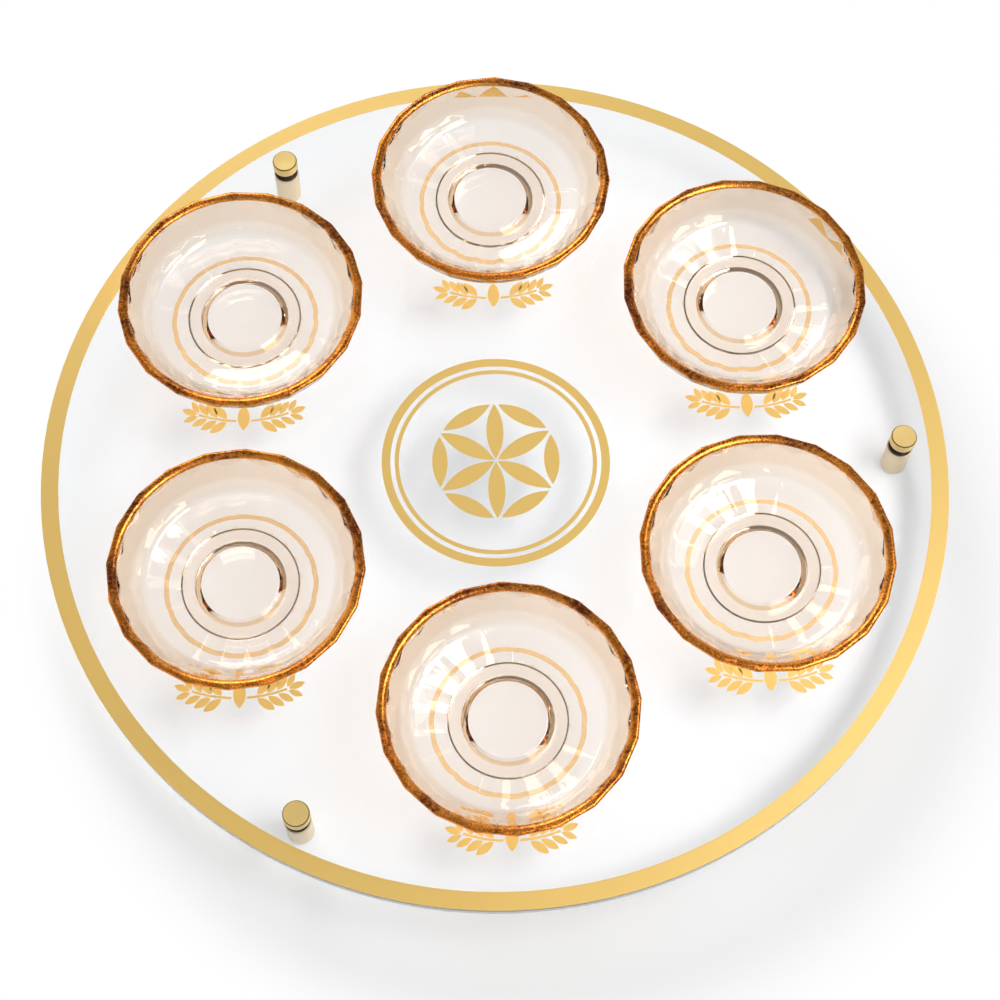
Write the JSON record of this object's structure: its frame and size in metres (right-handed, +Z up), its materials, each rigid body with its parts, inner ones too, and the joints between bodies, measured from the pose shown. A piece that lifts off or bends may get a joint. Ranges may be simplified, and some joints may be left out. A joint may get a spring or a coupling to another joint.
{
  "type": "seder plate",
  "caption": "Round clear plate with gold foil rings, raised on brass standoff legs, that carries a ring of loose faceted glass bowls for ritual foods.",
  "frame": {"origin": "on the table under the middle of the plate", "axes": "+Z up, +X to the right and +Y away from the person who faces the plate"},
  "size_m": [0.4199, 0.42, 0.0523],
  "materials": {
    "acrylic": "clear, polished",
    "foil": "satin gold foil",
    "brass": "turned and lacquered",
    "steel": "threaded",
    "rubber": "matt black",
    "clear_washer": "clear",
    "amber_glass": "pressed, fire polished"
  },
  "bodies": {
    "stand": {"plate_disc": "acrylic", "border_band": "foil", "centre_ring_outer": "foil", "centre_ring_inner": "foil", "foot_pad_right": "rubber", "leg_barrel_right": "brass", "leg_gasket_right": "rubber", "cap_washer_right": "clear_washer", "standoff_stud_right": "steel", "standoff_cap_right": "brass", "foot_pad_back_left": "rubber", "leg_barrel_back_left": "brass", "leg_gasket_back_left": "rubber", "cap_washer_back_left": "clear_washer", "standoff_stud_back_left": "steel", "standoff_cap_back_left": "brass", "foot_pad_front_left": "rubber", "leg_barrel_front_left": "brass", "leg_gasket_front_left": "rubber", "cap_washer_front_left": "clear_washer", "standoff_stud_front_left": "steel", "standoff_cap_front_left": "brass"},
    "bowl_back": {"bowl_back": "amber_glass"},
    "bowl_back_right": {"bowl_back_right": "amber_glass"},
    "bowl_front_right": {"bowl_front_right": "amber_glass"},
    "bowl_front": {"bowl_front": "amber_glass"},
    "bowl_front_left": {"bowl_front_left": "amber_glass"},
    "bowl_back_left": {"bowl_back_left": "amber_glass"}
  },
  "joints": [
    {"name": "bowl_back_lift", "type": "slide", "parent": "stand", "child": "bowl_back", "axis": [0, 0, 1], "range_m": [0, 0.08]},
    {"name": "bowl_back_right_lift", "type": "slide", "parent": "stand", "child": "bowl_back_right", "axis": [0, 0, 1], "range_m": [0, 0.08]},
    {"name": "bowl_front_right_lift", "type": "slide", "parent": "stand", "child": "bowl_front_right", "axis": [0, 0, 1], "range_m": [0, 0.08]},
    {"name": "bowl_front_lift", "type": "slide", "parent": "stand", "child": "bowl_front", "axis": [0, 0, 1], "range_m": [0, 0.08]},
    {"name": "bowl_front_left_lift", "type": "slide", "parent": "stand", "child": "bowl_front_left", "axis": [0, 0, 1], "range_m": [0, 0.08]},
    {"name": "bowl_back_left_lift", "type": "slide", "parent": "stand", "child": "bowl_back_left", "axis": [0, 0, 1], "range_m": [0, 0.08]}
  ]
}
